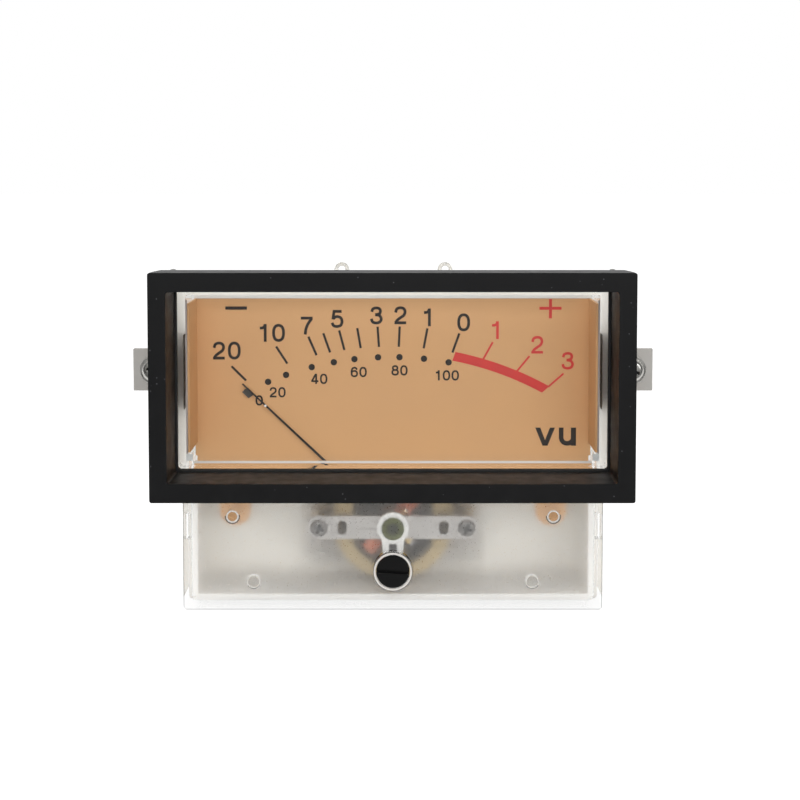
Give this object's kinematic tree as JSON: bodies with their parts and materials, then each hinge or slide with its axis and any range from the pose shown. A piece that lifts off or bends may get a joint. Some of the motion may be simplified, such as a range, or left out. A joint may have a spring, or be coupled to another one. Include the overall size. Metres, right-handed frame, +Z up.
{
  "type": "analog level meter",
  "caption": "Analog audio level meter: a moving-coil needle over a tan decibel scale behind a clear window, in a black panel bezel with a zero adjuster below.",
  "frame": {"origin": "centre of the bezel's opening, on the bezel's rear face where it meets the panel", "axes": "+X to the right of the dial, +Y rearwards through the panel, +Z up the dial; the dial faces -Y"},
  "size_m": [0.1132, 0.052, 0.0741],
  "materials": {
    "black_bezel": "moulded black, fine spark texture",
    "plated_steel": "nickel plated",
    "black_rubber": "soft matt",
    "clear_cover": "clear, polished outside; lower front frosted inside",
    "milky_housing": "milky white, moulded",
    "tan_dial": "smooth printed tan sheet",
    "white_metal": "tumbled die casting",
    "brass": "turned",
    "ruby": "polished",
    "spring_bronze": "rolled",
    "magnet_steel": "ground",
    "yellow_zinc": "yellow zinc plated",
    "green_board": "glass-fibre board",
    "diode_glass": "glass body with a dark band",
    "resistor_body": "lacquered",
    "lamp_lens": "warm white lens",
    "tinned_brass": "tinned",
    "red_wire": "soft sleeve",
    "black_wire": "soft sleeve",
    "zinc_steel": "zinc plated sheet",
    "black_pointer": "black painted",
    "grey_aluminium": "plain",
    "copper_wire": "enamelled copper winding",
    "pivot_steel": "polished",
    "white_lever": "moulded white",
    "black_screw": "moulded black",
    "black_ink": "screen-printed on the dial",
    "red_ink": "screen-printed on the dial"
  },
  "bodies": {
    "case": {"bezel_frame": "black_bezel", "bezel_studs": "plated_steel", "window_gasket": "black_rubber", "front_cover": "clear_cover", "rear_housing": "milky_housing", "dial_plate": "tan_dial", "front_bridge": "white_metal", "bridge_pillars": "brass", "bridge_screws": "plated_steel", "front_jewel_screw": "brass", "rear_jewel_screw": "brass", "pivot_jewels": "ruby", "rear_hairspring": "spring_bronze", "rear_spring_lug": "brass", "core_magnet": "magnet_steel", "core_holder": "brass", "yoke_ring": "yellow_zinc", "yoke_spacers": "brass", "pointer_stops": "plated_steel", "rear_plate": "white_metal", "plate_screws": "plated_steel", "rectifier_board": "green_board", "rectifier_diodes": "diode_glass", "series_resistor": "resistor_body", "lamp_board": "green_board", "dial_lamps": "lamp_lens", "lamp_pins": "tinned_brass", "positive_lead": "red_wire", "negative_lead": "black_wire", "terminal_studs": "brass", "terminal_washers": "plated_steel", "solder_lugs": "tinned_brass", "terminal_nuts": "brass", "left_bracket": "zinc_steel", "right_bracket": "zinc_steel", "bracket_screws": "plated_steel", "bracket_washers": "plated_steel", "bracket_nuts": "plated_steel", "bracket_fixing_screws": "plated_steel"},
    "pointer": {"pointer_needle": "black_pointer", "pointer_hub": "grey_aluminium", "balance_weights": "brass", "coil_bobbin": "grey_aluminium", "moving_coil": "copper_wire", "front_pivot": "pivot_steel", "rear_pivot": "pivot_steel", "hairspring_collets": "brass"},
    "zero_lever": {"zero_lever": "white_lever", "front_hairspring": "spring_bronze"},
    "zero_screw": {"zero_screw": "black_screw"}
  },
  "joints": [
    {"name": "pointer_swing", "type": "hinge", "parent": "case", "child": "pointer", "pos_m": [0, 0, -0.0338], "axis": [0, 1, 0], "range_deg": [0, 97], "stiffness_Nm_per_rad": 0.00003, "deforming": ["front_hairspring", "rear_hairspring"]},
    {"name": "zero_screw_turn", "type": "hinge", "parent": "case", "child": "zero_screw", "pos_m": [0, 0, -0.0424], "axis": [0, 1, 0], "range_deg": [-30, 30]},
    {"name": "zero_lever_swing", "type": "hinge", "parent": "case", "child": "zero_lever", "pos_m": [0, 0, -0.0338], "axis": [0, 1, 0], "range_deg": [-6.2, 6.2]}
  ],
  "couplings": [
    {"joint": "zero_lever_swing", "follows": "zero_screw_turn", "ratio": -0.2}
  ]
}
